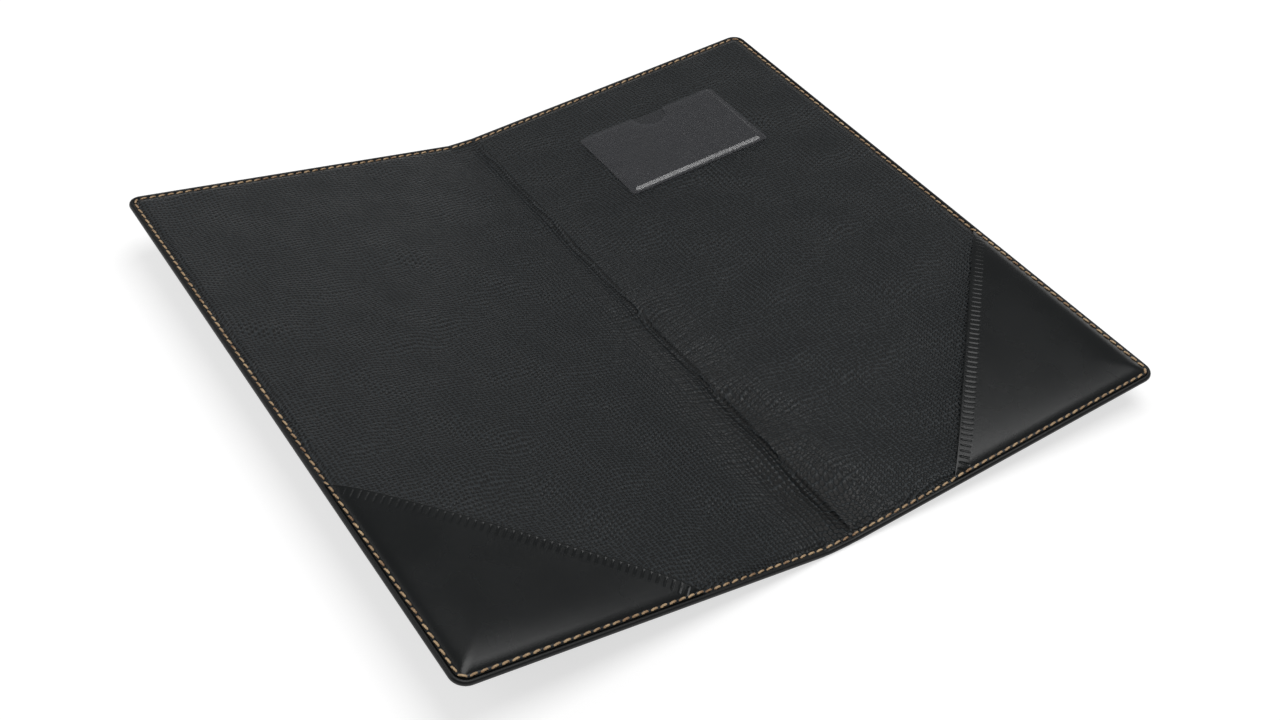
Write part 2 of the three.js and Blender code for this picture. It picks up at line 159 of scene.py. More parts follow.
class PresenterSizes(bpy.types.PropertyGroup):
    """Sizes of the sheets, pockets and seam, drawn flat."""

    corner_radius: length("Corner radius", "Round corner of the covers", 5)
    rim_radius: length("Rim radius", "Half the thickness of the rolled edge", 0.9)
    rim_width: length("Rim width", "Rolled edge outside the lining", 1.3)
    hem_top: length("Hem top", "Height of the turned-in hem", 1.1)
    hem_width: length("Hem width", "Width of the turned-in hem", 4.9)
    sheet: length("Sheet", "Thickness of the outer leatherette", 0.7)
    lining: length("Lining", "Thickness of the lining", 0.5)
    lining_ramp: length("Lining ramp", "Width over which the lining drops off the board", 2.9)
    fold_reach: length("Fold reach", "How far the sheets bend on each side of the hinge line", 1.4)
    crease_skew: length("Crease skew", "How far the creases wander off the hinge line at each end", 1.2)
    spine_lift: length("Spine lift", "How far the lining stands off the sheet behind it", 0.25)
    spine_hump: length("Spine hump", "Height that the lining gains across the spine towards the left", 0.6)
    valley_depth: length("Valley depth", "Depth of the crease beside the right cover", 0.4)
    valley_width: length("Valley width", "Half width of that crease", 2.1)
    seam_inset: length("Seam inset", "Distance of the seam from the edge", 2.1)
    seam_groove: length("Seam groove", "Depth that the thread pulls the face down", 0.16)
    seam_groove_width: length("Groove width", "Half width of the pulled-down strip", 0.75)
    stitch_pitch: length("Stitch pitch", "Distance from hole to hole", 3.25)
    stitch_length: length("Stitch length", "Length of thread that shows", 2.5)
    stitch_slant: FloatProperty(
        name="Stitch slant",
        description="Turn of each stitch out of the seam line",
        default=0.14,
        subtype="ANGLE",
    )
    thread: length("Thread", "Thickness of the thread", 0.85)
    bobbin_groove: length("Back groove", "Depth of the channel for the thread on the back", 0.45)
    pocket: length("Pocket", "Thickness of a corner pocket", 0.6)
    pocket_margin: length("Pocket margin", "Thickness of its sewn margin", 0.35)
    pocket_ramp_start: length("Ramp start", "Where the pocket leaves its margin", 2.4)
    pocket_ramp_end: length("Ramp end", "Where the pocket has cleared the board's edge", 5.9)
    pocket_bulge: length("Pocket bulge", "Fullness at the middle of the mouth", 1.3)
    pocket_rise: length("Pocket rise", "Height that the pocket gains inside its margin", 2.0)
    pocket_easing: length("Pocket easing", "Distance over which that rise levels off", 4)
    crimp_inset: length("Crimp inset", "Distance of the crimps from the mouth", 1.1)
    crimp_length: length("Crimp length", "Length of each crimp", 3.2)
    crimp_pitch: length("Crimp pitch", "Distance from crimp to crimp", 2.3)
    crimp_width: length("Crimp width", "Width of each crimp", 0.5)
    crimp_depth: length("Crimp depth", "Depth of each crimp", 0.26)
    crimp_margin: length("Crimp margin", "Plain stretch at each end of the mouth", 5)
    film: length("Film", "Thickness of the clear film", 0.25)
    film_weld: length("Film weld", "Width of the welded edge", 1.1)
    film_ramp: length("Film ramp", "Width over which the front film rises", 1.6)
    notch_width: length("Notch width", "Width of the thumb notch", 14)
    notch_depth: length("Notch depth", "Depth of the thumb notch", 7.5)
    mesh_step: length("Mesh step", "Spacing of the sheets' mesh", 1.625)
    seed: IntProperty(name="Seed", description="Seed of the small differences between stitches", default=7)


class PresenterColours(bpy.types.PropertyGroup):
    """Colours of the finishes, as they look in plain light."""

    outer: colour("Outer leatherette", "Smooth black leatherette of the outside", "#0f1112")
    lining: colour("Lining leatherette", "Lizard-grained black leatherette", "#262b2e")
    pit: colour("Grain pits", "Shade in the bottom of the grain", "#020303")
    pocket: colour("Pocket leatherette", "Smooth black leatherette of the pockets", "#0f1213")
    board: colour("Greyboard", "Recycled board inside the covers", "#8d8a82")
    thread: colour("Thread", "Tan sewing thread", "#d3b58c")
    # Painted shade: this deeper tan stands in for the shade between the plies, laid in random patches
    thread_shade: colour("Thread shade", "Tan thread between its plies", "#866242")
    film: colour("Film", "Haze of the clear film", "#505156")
    floor: colour("Floor", "Plain pale floor", "#c2c2c2")


# Small helpers


def sizes():
    return bpy.context.scene.presenter_sizes


def colours():
    return bpy.context.scene.presenter_colours


def smooth(start, end, value):
    """0 before start, 1 after end and an even curve between them."""
    t = np.clip((value - start) / (end - start), 0, 1)
    return t * t * (3 - 2 * t)


def mix(a, b, share):
    return a + (b - a) * share


def even(start, end, step):
    """Evenly spaced places from start to end, about step apart."""
    return np.linspace(start, end, max(int(round(abs(end - start) / step)), 1) + 1)


def bell(distance, width):
    """1 at no distance, falling off evenly on both sides."""
    return np.exp(-((distance / width) ** 2))


def inset_at(x, y, radius):
    """Distance in from the opened presenter's rounded outline."""
    ax = np.abs(x) - (HALF_WIDTH - radius)
    ay = np.abs(y) - (HALF_HEIGHT - radius)
    outside = np.hypot(np.maximum(ax, 0), np.maximum(ay, 0))
    return radius - outside - np.minimum(np.maximum(ax, ay), 0)


def add_node(tree, kind, properties=None, inputs=None):
    """Adds a node, sets its properties and fills its inputs with values or with other nodes' outputs."""
    node = tree.nodes.new(kind)
    for name, value in (properties or {}).items():
        setattr(node, name, value)
    for key, value in (inputs or {}).items():
        if isinstance(value, bpy.types.NodeSocket):
            tree.links.new(value, node.inputs[key])
        else:
            node.inputs[key].default_value = value
    return node


def calculate(tree, operation, *values):
    """The output of a math node."""
    node = add_node(tree, "ShaderNodeMath", {"operation": operation}, dict(enumerate(values)))
    return node.outputs[0]


def plus(tree, a, b):
    return calculate(tree, "ADD", a, b)


def minus(tree, a, b):
    return calculate(tree, "SUBTRACT", a, b)


def times(tree, a, b):
    return calculate(tree, "MULTIPLY", a, b)


def vector(tree, parts):
    """A vector from its parts, given by their number."""
    return add_node(tree, "ShaderNodeCombineXYZ", None, parts).outputs[0]


def new_object(name, data):
    obj = bpy.data.objects.new(name, data)
    bpy.context.collection.objects.link(obj)
    return obj


def paint(obj, material):
    obj.data.materials.clear()
    obj.data.materials.append(material)


# Meshes


def half_cover_net(insets, spine_places):
    """A flat net over one half of the presenter: rings along its edge and a grid inside them.

    insets are the rings' distances from the outline, the last of them past the corner radius.
    spine_places are the columns across the spine.
    """
    s = sizes()
    radius = s.corner_radius
    arc_steps = 8
    straight_x = HALF_WIDTH - radius
    straight_y = HALF_HEIGHT - radius
    xs = np.unique(np.concatenate([spine_places, even(spine_places[-1], straight_x, s.mesh_step)]))
    ys = even(-straight_y, straight_y, s.mesh_step)
    turns = np.linspace(-math.pi / 2, 0, arc_steps + 1)[1:-1]

    def drawn_in(beyond):
        """The columns' and rows' places once the net is drawn in past the corner's centre."""
        return xs * (straight_x - beyond) / straight_x, ys * (straight_y - beyond) / straight_y

    def ring(inset):
        arc = max(radius - inset, 0)
        beyond = max(inset - radius, 0)
        row, column = drawn_in(beyond)
        cx, cy = straight_x - beyond, straight_y - beyond
        foot = np.column_stack([row, np.full(len(row), -cy - arc)])
        foot_arc = np.column_stack([cx + arc * np.cos(turns), -cy + arc * np.sin(turns)])
        edge = np.column_stack([np.full(len(column), cx + arc), column])
        head_arc = foot_arc[::-1] * [1, -1]
        head = foot[::-1] * [1, -1]
        return np.concatenate([foot, foot_arc, edge, head_arc, head])

    rings = [ring(inset) for inset in insets]
    count = len(rings[0])
    row, column = drawn_in(insets[-1] - radius)
    grid = np.array([[x, y] for x in row for y in column])
    points = np.concatenate([*rings, grid])
    faces = []
    for k in range(len(rings) - 1):
        for i in range(count - 1):
            a = k * count + i
            faces.append((a, a + 1, a + 1 + count, a + count))
    first = len(rings) * count
    tall = len(column)
    for i in range(len(row) - 1):
        for j in range(tall - 1):
            a = first + i * tall + j
            faces.append((a, a + tall, a + tall + 1, a + 1))
    return welded(points, faces)


def welded(points, faces, step=1e-8):
    """The same net with points at one place merged and collapsed faces dropped."""
    keys = np.round(points / step).astype(np.int64)
    _, first, inverse = np.unique(keys, axis=0, return_index=True, return_inverse=True)
    inverse = inverse.ravel()
    merged = []
    for face in faces:
        corners = list(dict.fromkeys(int(inverse[i]) for i in face))
        if len(corners) > 2:
            merged.append(tuple(corners))
    return points[first], merged


def filled_net(outline, inner):
    """A triangulated flat net inside a closed outline, through the given inner points."""
    points = [Vector(p) for p in outline] + [Vector(p) for p in inner]
    border = [list(range(len(outline)))]
    inside_only, merge_distance = 1, 1e-7
    verts, _, faces, *_ = delaunay_2d_cdt(points, [], border, inside_only, merge_distance)
    return np.array([v[:] for v in verts]), [tuple(f) for f in faces]


def counterclockwise(points, face):
    """The face with its corners in order seen from +Z."""
    corners = points[list(face)]
    after = np.roll(corners, -1, axis=0)
    area = np.sum(corners[:, 0] * after[:, 1] - after[:, 0] * corners[:, 1])
    return face if area > 0 else face[::-1]


def slab_faces(count, faces):
    """Faces of a closed slab: the net as its top, the same net as its bottom and a wall round both."""
    directed = {(f[i], f[(i + 1) % len(f)]) for f in faces for i in range(len(f))}
    walls = [(a + count, b + count, b, a) for a, b in directed if (b, a) not in directed]
    walls.sort()
    below = [tuple(i + count for i in reversed(f)) for f in faces]
    return list(faces) + below + walls


def slab(name, cover, net, low, high, bends=False):
    """A closed sheet over a flat net of x and y, between two heights, lifted onto its cover."""
    points, faces = net
    faces = [counterclockwise(points, f) for f in faces]
    bottom = np.column_stack([points, low])
    top = np.column_stack([points, high])
    flat = np.concatenate([top, bottom])
    share = fold_share(cover, flat[:, 0]) if bends else 1.0
    closed = slab_faces(len(points), faces)
    if cover.side < 0:
        closed = [f[::-1] for f in closed]
    mesh = bpy.data.meshes.new(name)
    mesh.from_pydata(cover.lifted(flat, share).tolist(), [], closed)
    sheet_map = mesh.uv_layers.new(name="sheet")
    places = np.column_stack([cover.side * flat[:, 0], flat[:, 1]])
    corners = np.zeros(len(mesh.loops), np.int32)
    mesh.loops.foreach_get("vertex_index", corners)
    sheet_map.data.foreach_set("uv", places[corners].astype(np.float32).ravel())
    mesh.shade_smooth()
    mesh.set_sharp_from_angle(angle=SHARP_ANGLE)
    return new_object(name, mesh)


def fold_share(cover, x):
    """How much of the cover's turn a point of a creased sheet takes."""
    reach = sizes().fold_reach
    return smooth(cover.hinge_x - reach, cover.hinge_x + reach, x)


def bend_at_crease(obj):
    """Bakes the sheet's transform into its mesh; its bend at the crease is already in its shape."""
    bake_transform(obj)


# Faces of the sheets, as heights over the flat layout


# How deep the seam pulls a pocket's margin, as a share of its groove in the lining
MARGIN_PULL = 0.7


def seam_pull(x, y):
    """1 under the thread of the edge seam and 0 away from it."""
    s = sizes()
    return bell(inset_at(x, y, s.corner_radius) - s.seam_inset, s.seam_groove_width)


def lining_face(cover, x, y):
    """Height of the lining's face: low in the spine, up on the board and down on the hem."""
    s = sizes()
    gap = 0.1 * MM
    valley_offset, valley_skew = 0.6 * MM, 0.7
    hem_run = 7 * MM
    board_run = 0.75 * MM
    brow_width, brow_drop = 0.35 * MM, 0.06 * MM
    up = y / HALF_HEIGHT
    ups = np.abs(y)
    hem_inner = HALF_HEIGHT - s.hem_width
    across = (cover.side * x / cover.hinge_x + 1) / 2
    rise = s.spine_hump * np.clip(1 - across, 0, 1)
    spine = SPINE_BACK + s.lining + s.spine_lift + rise
    if cover.side > 0:
        crease = cover.hinge_x - valley_offset - s.crease_skew * up * valley_skew
        spine = spine + s.valley_depth * (1 - bell(x - crease, s.valley_width))
    else:
        spine = spine + s.valley_depth
    spine = mix(spine, HEM_FACE, smooth(hem_inner - hem_run, hem_inner, ups))
    field_end = BOARD_HIGH[1] + gap
    field = mix(BOARD_FACE, HEM_FACE, smooth(field_end, field_end + s.lining_ramp, ups))
    inner_edge = BOARD_LOW[0] - gap
    if cover.side > 0:
        onto_board = smooth(crease, inner_edge, x)
    else:
        crease = inner_edge - board_run - s.crease_skew * (1 - up)
        onto_board = smooth(crease, crease + board_run, x)
    face = mix(spine, field, onto_board)
    edge = BOARD_HIGH[0] + gap
    face = mix(face, HEM_FACE, smooth(edge, edge + s.lining_ramp, x))
    inset = inset_at(x, y, s.corner_radius)
    brow = np.clip(1 - (inset - LINING_INSET) / brow_width, 0, 1) ** 2
    return face - s.seam_groove * seam_pull(x, y) - brow_drop * brow


def pocket_legs(cover):
    """Lengths of a corner pocket's mouth measured along the edge and the foot, to the outline."""
    low, high = cover.flat_box(f"corner_pocket_{cover.word}")
    across = HALF_WIDTH - low[0] - LINING_INSET
    up = high[1] + HALF_HEIGHT - LINING_INSET
    slope = across / up
    return across + LINING_INSET * (1 + slope), up + LINING_INSET * (1 + 1 / slope)


def pocket_climb(x, y):
    """0 on a pocket's sewn margin and 1 where the pocket has its full thickness."""
    s = sizes()
    from_edge = smooth(s.pocket_ramp_start, s.pocket_ramp_end, HALF_WIDTH - x)
    from_foot = smooth(s.pocket_ramp_start, s.pocket_ramp_end, HALF_HEIGHT + y)
    return from_edge * from_foot


def pocket_back(cover, x, y):
    """Height of a corner pocket's back: down on its margin, clear of the lining, fullest at mid-mouth."""
    s = sizes()
    across, up = pocket_legs(cover)
    glue = 0.12 * MM
    margin = HEM_FACE + glue
    p = np.maximum(HALF_WIDTH - x - s.pocket_ramp_end, 0) / (across - s.pocket_ramp_end)
    q = np.maximum(HALF_HEIGHT + y - s.pocket_ramp_end, 0) / (up - s.pocket_ramp_end)
    # 1 at the middle of the mouth and 0 along both sewn legs
    fullness = 4 * p * q * (p + q)
    from_edge = np.maximum(HALF_WIDTH - x - s.pocket_ramp_start, 0)
    from_foot = np.maximum(HALF_HEIGHT + y - s.pocket_ramp_start, 0)
    # The two slopes meet in a rounded mitre
    mitre = 1.8 * MM
    overlap = np.maximum(mitre - np.abs(from_edge - from_foot), 0) / mitre
    nearer = np.maximum(np.minimum(from_edge, from_foot) - overlap**2 * mitre / 4, 0)
    climb = 1 - np.exp(-nearer / s.pocket_easing)
    return margin + s.pocket_rise * climb + s.pocket_bulge * fullness


def pocket_face(cover, x, y):
    """Height of a corner pocket's face: thin on its margin and of full thickness inside it."""
    s = sizes()
    return pocket_back(cover, x, y) + mix(s.pocket_margin, s.pocket, pocket_climb(x, y))


def mouth_line(cover):
    """The mouth's ends at the cover's edge and foot, its direction and the way into the pocket."""
    across, up = pocket_legs(cover)
    head = np.array([HALF_WIDTH, up - HALF_HEIGHT])
    foot = np.array([HALF_WIDTH - across, -HALF_HEIGHT])
    run = (foot - head) / np.linalg.norm(foot - head)
    inward = np.array([-run[1], run[0]])
    return head, foot, run, inward


def over_pocket(cover, x, y):
    """True where a seam point lies on the corner pocket's margin."""
    across, up = pocket_legs(cover)
    return (HALF_WIDTH - x) / across + (HALF_HEIGHT + y) / up < 1


# Materials

# Waves per millimetre of the broad patches that the grain's rows follow
BROAD_SCALE = 0.035


def new_material(name, shader):
    """A material with one Principled BSDF, its node tree and that node."""
    material = bpy.data.materials.new(name)
    material.use_nodes = True
    tree = material.node_tree
    tree.nodes.clear()
    bsdf = add_node(tree, "ShaderNodeBsdfPrincipled", None, shader)
    add_node(tree, "ShaderNodeOutputMaterial", None, {"Surface": bsdf.outputs[0]})
    return material, tree, bsdf


def sheet_places(tree):
    """Flat places on a sheet, in millimetres."""
    places = add_node(tree, "ShaderNodeUVMap", {"uv_map": "sheet"})
    inputs = {"Vector": places.outputs[0], "Scale": (1 / MM,) * 3}
    return add_node(tree, "ShaderNodeMapping", None, inputs).outputs[0]


def noise(tree, places, scale, detail=2.0, roughness=0.5):
    """Soft random patches, scale of them to each unit of the places."""
    inputs = {"Vector": places, "Scale": scale, "Detail": detail, "Roughness": roughness}
    return add_node(tree, "ShaderNodeTexNoise", None, inputs).outputs["Fac"]


def ramp(tree, value, low, high, to_low=0.0, to_high=1.0):
    """The value eased from one range to another."""
    inputs = {"Value": value, "From Min": low, "From Max": high, "To Min": to_low, "To Max": to_high}
    return add_node(tree, "ShaderNodeMapRange", {"interpolation_type": "SMOOTHSTEP"}, inputs).outputs[0]


def blend_colours(tree, factor, first, second):
    """The first colour where the factor is 0 and the second where it is 1."""
    inputs = {0: factor, 6: (*first, 1), 7: (*second, 1)}
    return add_node(tree, "ShaderNodeMix", {"data_type": "RGBA"}, inputs).outputs[2]


def add_bump(tree, bsdf, strength, depth, height):
    """Raises the surface by a height whose full range is depth millimetres."""
    inputs = {"Strength": strength, "Distance": depth * MM, "Height": height}
    bump = add_node(tree, "ShaderNodeBump", None, inputs)
    tree.links.new(bump.outputs[0], bsdf.inputs["Normal"])


def pitted(tree, places, width, row, irregular, pit):
    """Embossed grain in wavy rows: 0 at the bottom of each pit and 1 on the ridges between them.

    width and row are the spacing of the pits in millimetres, and places are millimetres too. pit is the
    radius of a pit's floor as a share of that spacing.
    """
    # Millimetres that a row wanders in long and in short waves, then how far its pits lean and how wide
    # their walls are, as shares
    long_wave, short_wave = 16.0, 0.9
    lean, pit_wall = 0.35, 0.38
    wave = noise(tree, places, BROAD_SCALE, 1.0)
    sway = noise(tree, places, 0.3, 1.0)
    split = add_node(tree, "ShaderNodeSeparateXYZ", None, {0: places})
    drift = times(tree, minus(tree, wave, 0.5), long_wave)
    jolt = times(tree, minus(tree, sway, 0.5), short_wave)
    up = plus(tree, plus(tree, split.outputs[1], drift), jolt)
    across = plus(tree, split.outputs[0], times(tree, drift, lean))
    cell_x = calculate(tree, "DIVIDE", across, width)
    cell_y = calculate(tree, "DIVIDE", up, row)
    cells = vector(tree, {0: cell_x, 1: cell_y})
    inputs = {"Vector": cells, "Scale": 1.0, "Randomness": irregular}
    flat = {"voronoi_dimensions": "2D", "feature": "F1"}
    away = add_node(tree, "ShaderNodeTexVoronoi", flat, inputs).outputs["Distance"]
    return ramp(tree, away, pit, pit + pit_wall)


def lizard_leatherette():
    """Embossed PVC leatherette: rows of small scales catch the light, and the pits carry a painted shade
    colour.
    """
    c = colours()
    material, tree, bsdf = new_material(
        "lizard_embossed_leatherette",
        {"Roughness": 0.42, "IOR": 1.5, "Specular IOR Level": 0.35},
    )
    places = sheet_places(tree)
    # The real fine grain is about 1.1 mm from pit to pit, and is drawn coarser so that it still shows
    fine = pitted(tree, places, 1.45, 1.25, 0.26, 0.18)
    coarse = pitted(tree, places, 2.0, 1.75, 0.28, 0.31)
    # The coarse grain lies beside the crease and fades out towards the head
    strip_start, strip_end = 3.0, 28.0
    head_end, foot_end = 70.0, -110.0
    split = add_node(tree, "ShaderNodeSeparateXYZ", None, {0: places})
    off_valley = calculate(tree, "ABSOLUTE", minus(tree, split.outputs[0], RIGHT.hinge_x / MM))
    strip = ramp(tree, off_valley, strip_start, strip_end, 0.95, 0.0)
    patches = ramp(tree, noise(tree, places, BROAD_SCALE, 1.0), 0.42, 0.62)
    towards_foot = ramp(tree, split.outputs[1], head_end, foot_end, 0.15, 1.0)
    mixed = times(tree, plus(tree, strip, times(tree, patches, 0.12)), towards_foot)
    share = calculate(tree, "MINIMUM", mixed, 1.0)
    height = add_node(tree, "ShaderNodeMix", None, {0: share, 2: fine, 3: coarse}).outputs[0]
    skin = noise(tree, places, 4.0, 3.0, 0.6)
    relief = plus(tree, height, times(tree, skin, 0.06))
    add_bump(tree, bsdf, 1.0, 0.34, relief)
    # Painted shade: the pits take the near-black pit colour and the ridges the lining's own colour, so the
    # surface is darker where the coarse grain's wider pits lie beside the crease
    tree.links.new(blend_colours(tree, height, c.pit, c.lining), bsdf.inputs["Base Color"])
    shine = ramp(tree, noise(tree, places, 0.06, 2.0), 0.3, 0.7, 0.38, 0.5)
    tree.links.new(shine, bsdf.inputs["Roughness"])
    return material


def smooth_leatherette(name, shade, grain, depth, roughness):
    """Smooth PVC leatherette: a faint haircell grain under a satin top coat gives broad soft glints.

    grain is the number of pores per millimetre, and depth is their depth in millimetres.
    """
    material, tree, bsdf = new_material(name, {"IOR": 1.5, "Specular IOR Level": 0.33})
    places = sheet_places(tree)
    pores = noise(tree, places, grain, 4.0, 0.6)
    handling = noise(tree, places, 0.05, 3.0, 0.5)
    add_bump(tree, bsdf, 0.5, depth, pores)
    worn = [min(channel * 1.12, 1) for channel in shade]
    tone = blend_colours(tree, ramp(tree, handling, 0.35, 0.7), shade, worn)
    tree.links.new(tone, bsdf.inputs["Base Color"])
    rubbed = ramp(tree, handling, 0.25, 0.75, roughness, roughness + 0.04)
    tree.links.new(rubbed, bsdf.inputs["Roughness"])
    return material


def greyboard():
    """Solid greyboard of recycled fibre: matt, with light and dark flecks."""
    c = colours()
    material, tree, bsdf = new_material("solid_greyboard", {"Roughness": 0.95})
    places = add_node(tree, "ShaderNodeTexCoord").outputs["Object"]
    flecks = noise(tree, places, 900.0, 4.0, 0.7)
    shade = [channel * 0.7 for channel in c.board]
    tone = blend_colours(tree, ramp(tree, flecks, 0.35, 0.65), shade, c.board)
    tree.links.new(tone, bsdf.inputs["Base Color"])
    add_bump(tree, bsdf, 0.3, 0.1, flecks)
    return material


def clear_film():
    """Clear PVC film: mostly see-through, with a faint haze and sharp glints along its welded edge."""
    c = colours()
    material, tree, bsdf = new_material(
        "clear_pvc_film",
        {"Base Color": (*c.film, 1), "IOR": 1.9, "Specular IOR Level": 1.0, "Alpha": 0.16},
    )
    places = sheet_places(tree)
    scuffs = noise(tree, places, 0.25, 3.0, 0.6)
    tree.links.new(ramp(tree, scuffs, 0.35, 0.7, 0.12, 0.22), bsdf.inputs["Roughness"])
    return material


def sewing_thread():
    """Twisted polyester thread: a silky sheen on each ply, and a deeper tan in small random patches, partly
    painted shade between the plies and partly random tone.
    """
    c = colours()
    material, tree, bsdf = new_material(
        "twisted_polyester_thread",
        {"Roughness": 0.42, "IOR": 1.5, "Sheen Weight": 0.3, "Sheen Roughness": 0.4},
    )
    places = add_node(tree, "ShaderNodeTexCoord").outputs["Object"]
    fibres = noise(tree, places, 5200.0, 2.0, 0.6)
    batch = noise(tree, places, 260.0, 2.0, 0.5)
    # Painted shade and random tone: the fine fibre noise darkens small patches to stand in for the shade
    # between the plies, and the batch noise varies the tan at random
    tone = plus(tree, times(tree, fibres, 0.45), times(tree, batch, 0.55))
    shade = blend_colours(tree, ramp(tree, tone, 0.36, 0.6), c.thread_shade, c.thread)
    tree.links.new(shade, bsdf.inputs["Base Color"])
    add_bump(tree, bsdf, 0.4, 0.05, fibres)
    return material


MATERIALS = {}


def material_of(key):
    """The finish with this key, made once."""
    if key not in MATERIALS:
        c = colours()
        makers = {
            "lining": lizard_leatherette,
            "outer": lambda: smooth_leatherette("smooth_calender_leatherette", c.outer, 2.2, 0.07, 0.4),
            "pocket": lambda: smooth_leatherette("satin_calender_leatherette", c.pocket, 2.8, 0.05, 0.25),
            "board": greyboard,
            "film": clear_film,
            "thread": sewing_thread,
        }
        MATERIALS[key] = makers[key]()
    return MATERIALS[key]


# Geometry Nodes


def new_tree(name, inputs):
    """A modifier tree with geometry in and out, and with inputs given as name: (type, value)."""
    tree = bpy.data.node_groups.new(name, "GeometryNodeTree")
    tree.interface.new_socket("Geometry", in_out="INPUT", socket_type="NodeSocketGeometry")
    tree.interface.new_socket("Geometry", in_out="OUTPUT", socket_type="NodeSocketGeometry")
    for label, (kind, value) in inputs.items():
        socket = tree.interface.new_socket(label, in_out="INPUT", socket_type=f"NodeSocket{kind}")
        if value is not None:
            socket.default_value = value
    entry = tree.nodes.new("NodeGroupInput")
    return tree, entry.outputs


def moved(tree, geometry, key, value):
    """The geometry with its points set to a Position, or shifted by an Offset."""
    return add_node(tree, "GeometryNodeSetPosition", None, {0: geometry, key: value}).outputs[0]


def scaled(tree, direction, factor):
    inputs = {0: direction, "Scale": factor}
    return add_node(tree, "ShaderNodeVectorMath", {"operation": "SCALE"}, inputs).outputs[0]


def end_tree(tree, geometry, material):
    """Makes the instances real, gives them the material and ends the tree."""
    real = add_node(tree, "GeometryNodeRealizeInstances", None, {0: geometry})
    painted = add_node(tree, "GeometryNodeSetMaterial", None, {0: real.outputs[0], "Material": material})
    add_node(tree, "NodeGroupOutput", None, {0: painted.outputs[0]})


def made_by_nodes(obj, tree, values):
    """Runs the tree on the object and keeps the result as its plain mesh."""
    modifier = obj.modifiers.new(tree.name, "NODES")
    modifier.node_group = tree
    for item in tree.interface.items_tree:
        if item.in_out == "INPUT" and item.name in values:
            modifier[item.identifier] = values[item.name]
    bpy.context.view_layer.update()
    depsgraph = bpy.context.evaluated_depsgraph_get()
    mesh = bpy.data.meshes.new_from_object(obj.evaluated_get(depsgraph))
    mesh.name = obj.name
    obj.modifiers.remove(modifier)
    obj.data = mesh
    return obj


